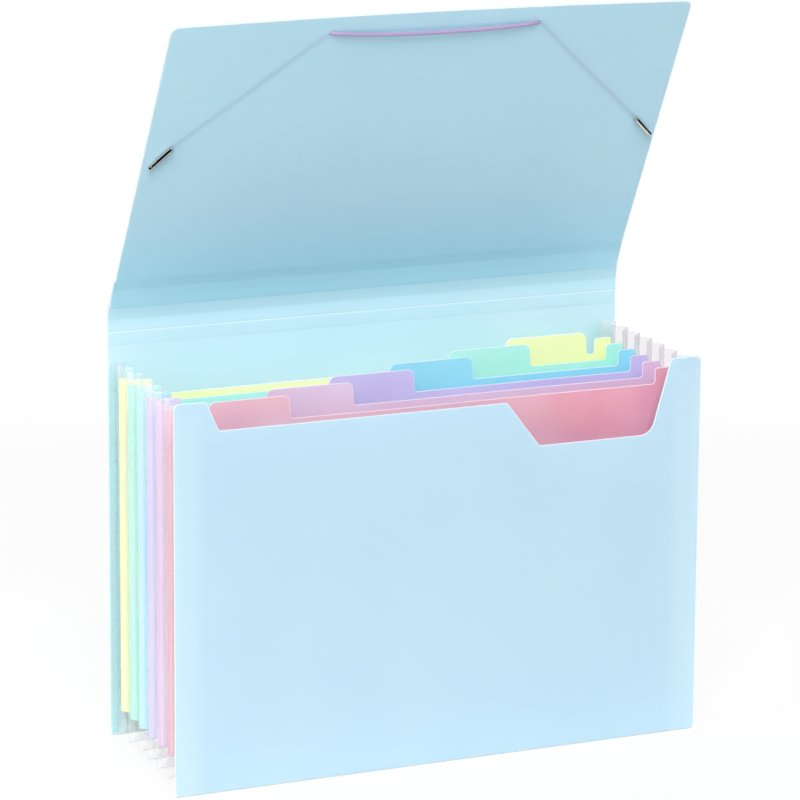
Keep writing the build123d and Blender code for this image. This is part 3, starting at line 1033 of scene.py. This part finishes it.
# the barbs hang a little off the cord's line, and are a little longer than the CAD barbs
barbFit = {
    "stretch": 1.15,
    "left": {"turn": 8, "seam": 42, "outward": Vector((-1, 0, 0))},
    "right": {"turn": -2, "seam": 40, "outward": Vector((1, 0, 0))},
    "seamHalf": 24,                   # degrees, half of the open seam's width
    "rimDrop": 1.35 * mm,             # the tongue's sides reach down towards the flap
    "rimFrom": -1 * mm,               # along the barb, from its middle
    "rimBand": (1.7 * mm, 2.4 * mm),  # above the middle of the flap's sheet
    "bevel": 0.06 * mm,
    "sharp": 50,
    "smooth": 40,
}
for side in ("left", "right"):
    fit = barbFit[side]
    fit["middle"] = middleOf("barb_" + side)
    fit["axis"] = barbWay(fit["outward"])
    turn = Matrix.Rotation(math.radians(fit["turn"]), 4, flapInside)
    stretch = Matrix.Scale(barbFit["stretch"], 4, fit["axis"])
    fit["place"] = Matrix.Translation(fit["middle"]) @ turn @ stretch @ Matrix.Translation(-fit["middle"])

route = [onFlap(-u, v, w) for u, v, w in cordShape["half"]]
route += [onFlap(*place) for place in cordShape["half"][::-1]]
for number, side in ((0, "left"), (1, "left"), (-2, "right"), (-1, "right")):
    route[number] = barbFit[side]["place"] @ route[number]
line = bpy.data.curves.new("elasticCord", "CURVE")
line.dimensions = "3D"
spline = line.splines.new("NURBS")
spline.points.add(len(route) - 1)
for point, place in zip(spline.points, route):
    point.co = (*place, 1.0)
spline.order_u = 3
spline.use_endpoint_u = True
spline.resolution_u = 8
line.bevel_depth = cordShape["diameter"] / 2
line.bevel_resolution = 4
line.use_fill_caps = True
cord = bpy.data.objects.new("elasticCord", line)
bpy.context.scene.collection.objects.link(cord)
elastic = braidedElastic("braided elastic, lavender", cordLook, cordShape["length"])
line.materials.append(elastic)
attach(cord, "flap")
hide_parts("elastic_cord")


def onTongueRim(vertex, fit):
    reach = (vertex.co - fit["middle"]).dot(fit["axis"])
    level = (vertex.co - scorePoints[3]).dot(flapInside)
    lowest, highest = barbFit["rimBand"]
    return reach > barbFit["rimFrom"] and lowest < level < highest


# the barbs are rolled from sheet metal, with the seam open towards the front; the near-black stripe
# painted along it is painted shade inside the seam and a painted dark reflection
for side in ("left", "right"):
    fit = barbFit[side]
    barb = copyOfNode("barb_" + side, "barb" + side.capitalize(), [nickel, seamShadeAndReflection])
    bevelSharp(barbFit["sharp"], barbFit["bevel"], 1)
    pick(barb, "VERT", lambda vertex: onTongueRim(vertex, fit))
    bpy.ops.transform.translate(value=flapInside * -barbFit["rimDrop"])
    seamTurn = math.radians(fit["seam"])
    seamAim = flapInside * math.cos(seamTurn)
    seamAim += (fit["outward"] + flapUp).normalized() * math.sin(seamTurn)
    pick(barb, "FACE", lambda face: face.normal.dot(seamAim) > math.cos(math.radians(barbFit["seamHalf"])))
    paint(barb, 1)
    bpy.ops.object.mode_set(mode="OBJECT")
    barb.data.transform(fit["place"])
    finishModelling(barb, barbFit["smooth"])
    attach(barb, "flap")
    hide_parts("barb_" + side)
print("cord and barbs made")

# Stage: a pale floor that melts into a white background, and soft studio light

stage = {
    "floor": 12.0,
    "floorTone": "#F2F2F2",
    "outerTone": "#A8A8A8",        # so that little light bounces up from far out
    "outerReach": (0.3, 0.8),
    "shadowShare": 0.12,
    "shadowReach": 0.45,
    "whiteFrom": 0.9,
    "worldLight": 0.28,
    "contact": 2 * mm,             # reach of the thin dark line where a sheet stands on the floor
    "contactOpen": (0.4, 0.85),    # how open the floor is where that line is darkest and where it ends
    "contactShade": 0.4,
    "flagReach": 0.45,
    "flagDark": 0.97,
}


def seenDirectly(tree):
    # rays from the camera, and those that a shiny or a clear piece sends on
    path = addNode(tree, "ShaderNodeLightPath")
    seen = path.outputs["Is Camera Ray"]
    for kind in ("Is Glossy Ray", "Is Transmission Ray"):
        seen = addNode(
            tree, "ShaderNodeMath", {"operation": "MAXIMUM"}, {0: seen, 1: path.outputs[kind]}
        ).outputs[0]
    return seen


startClean()
bpy.ops.mesh.primitive_plane_add(size=stage["floor"], location=(0, 0, 0))
floor = bpy.context.active_object
floor.name = "floor"
material, tree = newMaterial("pale studio floor")
contact = addNode(tree, "ShaderNodeAmbientOcclusion", {"Distance": stage["contact"]})
start, stop = stage["contactOpen"]
clearing = addNode(
    tree, "ShaderNodeMapRange",
    {1: start, 2: stop, 3: stage["contactShade"], 4: 1.0},
    {"Value": contact.outputs["AO"]},
)
white = addNode(tree, "ShaderNodeEmission", {"Color": colour("#FFFFFF")}, {"Strength": clearing.outputs[0]})
place = addNode(tree, "ShaderNodeTexCoord").outputs["Object"]
away = addNode(tree, "ShaderNodeVectorMath", {"operation": "LENGTH"}, {0: place})
start, stop = stage["outerReach"]
outer = addNode(tree, "ShaderNodeMapRange", {1: start, 2: stop}, {"Value": away.outputs["Value"]})
tone = addNode(
    tree, "ShaderNodeMix",
    {"data_type": "RGBA", 6: colour(stage["floorTone"]), 7: colour(stage["outerTone"])},
    {0: outer.outputs[0]},
)
matt = addNode(tree, "ShaderNodeBsdfDiffuse", {}, {"Color": tone.outputs[2]})
fade = addNode(
    tree, "ShaderNodeMapRange",
    {1: stage["shadowReach"], 2: stage["whiteFrom"], 3: 1 - stage["shadowShare"], 4: 1.0},
    {"Value": away.outputs["Value"]},
)
share = addNode(
    tree, "ShaderNodeMath", {"operation": "MULTIPLY"}, {0: seenDirectly(tree), 1: fade.outputs[0]}
)
both = addNode(
    tree, "ShaderNodeMixShader", {}, {0: share.outputs[0], 1: matt.outputs[0], 2: white.outputs[0]}
)
addNode(tree, "ShaderNodeOutputMaterial", {}, {"Surface": both.outputs[0]})
floor.data.materials.append(material)

world = bpy.data.worlds.new("white studio")
bpy.context.scene.world = world
world.use_nodes = True
tree = world.node_tree
tree.nodes.clear()
lit = addNode(tree, "ShaderNodeBackground", {"Color": colour("#FFFFFF"), "Strength": stage["worldLight"]})
# what shines is dark towards the right, as from a black flag there, and white elsewhere
aim = addNode(tree, "ShaderNodeTexCoord").outputs["Generated"]
aim = addNode(tree, "ShaderNodeSeparateXYZ", {}, {"Vector": aim}).outputs["X"]
flag = addNode(
    tree, "ShaderNodeMapRange", {1: 0.0, 2: stage["flagReach"], 3: 0.0, 4: stage["flagDark"]}, {"Value": aim}
)
glossy = addNode(tree, "ShaderNodeLightPath").outputs["Is Glossy Ray"]
flag = addNode(tree, "ShaderNodeMath", {"operation": "MULTIPLY"}, {0: flag.outputs[0], 1: glossy})
clear = addNode(tree, "ShaderNodeMath", {"operation": "SUBTRACT", 0: 1.0}, {1: flag.outputs[0]})
white = addNode(
    tree, "ShaderNodeBackground", {"Color": colour("#FFFFFF")}, {"Strength": clear.outputs[0]}
)
both = addNode(
    tree, "ShaderNodeMixShader", {}, {0: seenDirectly(tree), 1: lit.outputs[0], 2: white.outputs[0]}
)
addNode(tree, "ShaderNodeOutputWorld", {}, {"Surface": both.outputs[0]})

softboxes = {
    "keyLight": {"place": (-1.3, -3.4, 3.4), "aim": (0, 0, 0.2), "size": 2.4, "power": 218},
    "leftLight": {"place": (-2.1, -0.7, 0.35), "aim": (0, 0, 0.12), "size": 1.2, "power": 17},
    "backLight": {"place": (0.2, 2.2, 0.5), "aim": (0, 0, 0.2), "size": 1.4, "power": 48},
}
for name, box in softboxes.items():
    lamp = bpy.data.lights.new(name, "AREA")
    lamp.shape = "SQUARE"
    lamp.size = box["size"]
    lamp.energy = box["power"]
    holder = bpy.data.objects.new(name, lamp)
    bpy.context.scene.collection.objects.link(holder)
    holder.location = box["place"]
    holder.rotation_euler = (Vector(box["aim"]) - Vector(box["place"])).to_track_quat("-Z", "Y").to_euler()

# Camera, fitted to the photograph's corners and edges
shot = {
    "place": (-0.8324, -1.9682, 0.7380),
    "yaw": 22.82,
    "pitch": 10.81,
    "roll": 0.37,
    "lens": 167.9,
    "sensor": 36,
    "shift": -0.262,
    "farthest": 50,
    "filmLayers": 48,  # as many clear faces as a line of sight may cross
}
lens = bpy.data.cameras.new("camera")
lens.lens = shot["lens"]
lens.shift_y = shot["shift"]
lens.sensor_width = shot["sensor"]
lens.clip_end = shot["farthest"]
camera = bpy.data.objects.new("camera", lens)
bpy.context.scene.collection.objects.link(camera)
camera.matrix_world = (
    Matrix.Translation(shot["place"])
    @ Matrix.Rotation(math.radians(-shot["yaw"]), 4, "Z")
    @ Matrix.Rotation(math.radians(90 - shot["pitch"]), 4, "X")
    @ Matrix.Rotation(math.radians(shot["roll"]), 4, "Z")
)
bpy.context.scene.camera = camera
bpy.context.scene.view_settings.view_transform = "Standard"
bpy.context.scene.cycles.transparent_max_bounces = shot["filmLayers"]
print("stage, light and camera set")
